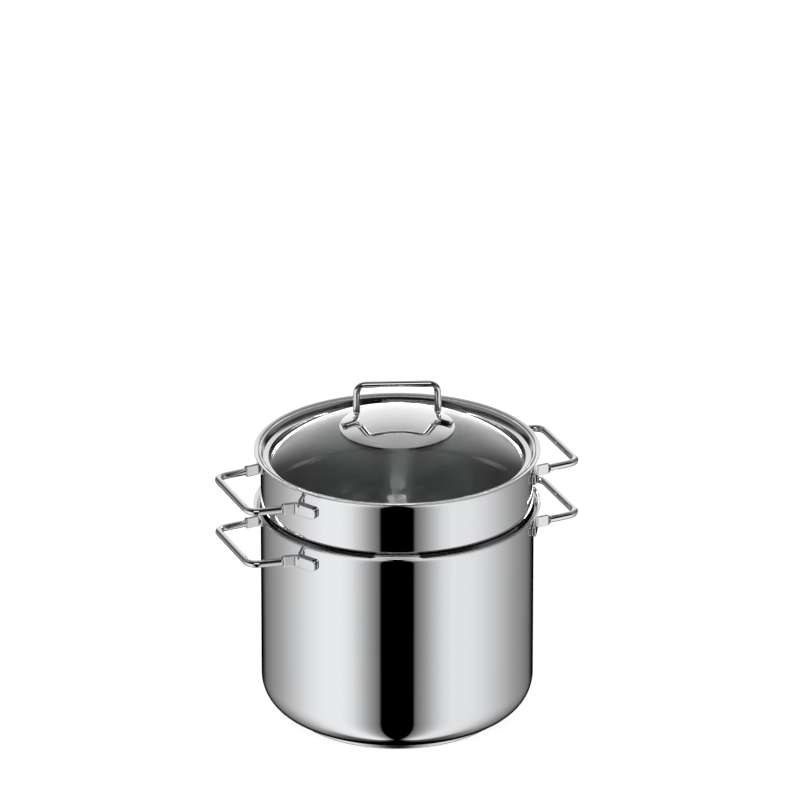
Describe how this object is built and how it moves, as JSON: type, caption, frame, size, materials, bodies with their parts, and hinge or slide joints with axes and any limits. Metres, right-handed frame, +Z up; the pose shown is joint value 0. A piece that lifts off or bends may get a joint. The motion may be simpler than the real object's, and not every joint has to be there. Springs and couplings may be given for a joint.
{
  "type": "pasta pot",
  "caption": "Tall stainless pasta pot with a lift-out perforated strainer insert, bar side handles and a domed glass lid with a steel rim and bar handle.",
  "frame": {"origin": "middle of the underside of the base, on the surface that the pot stands on", "axes": "+Z up along the pot's axis, +X through the right side handles and -X through the left ones"},
  "size_m": [0.317, 0.254, 0.3131],
  "materials": {
    "polished_steel": "mirror polished stainless steel",
    "base_steel": "circular brushed stainless steel",
    "core_aluminium": "raw, hidden inside the base",
    "clear_glass": "clear tempered glass",
    "silicone": "matt grey silicone"
  },
  "bodies": {
    "pot": {"pot_body": "polished_steel", "pot_base_core": "core_aluminium", "pot_base_cap": "base_steel", "pot_handle_left": "polished_steel", "pot_handle_right": "polished_steel"},
    "insert": {"insert_body": "polished_steel", "insert_foot_ring": "polished_steel", "insert_handle_left": "polished_steel", "insert_handle_right": "polished_steel"},
    "lid": {"lid_glass": "clear_glass", "lid_rim": "polished_steel", "lid_disc": "polished_steel", "lid_handle": "polished_steel", "lid_disc_seal": "silicone", "lid_under_seal": "silicone", "lid_washer": "base_steel", "lid_nut": "base_steel", "lid_stud": "base_steel"}
  },
  "joints": [
    {"name": "insert_lift", "type": "slide", "parent": "pot", "child": "insert", "axis": [0, 0, 1], "range_m": [0, 0.232]},
    {"name": "lid_lift", "type": "slide", "parent": "insert", "child": "lid", "axis": [0, 0, 1], "range_m": [0, 0.079]}
  ]
}
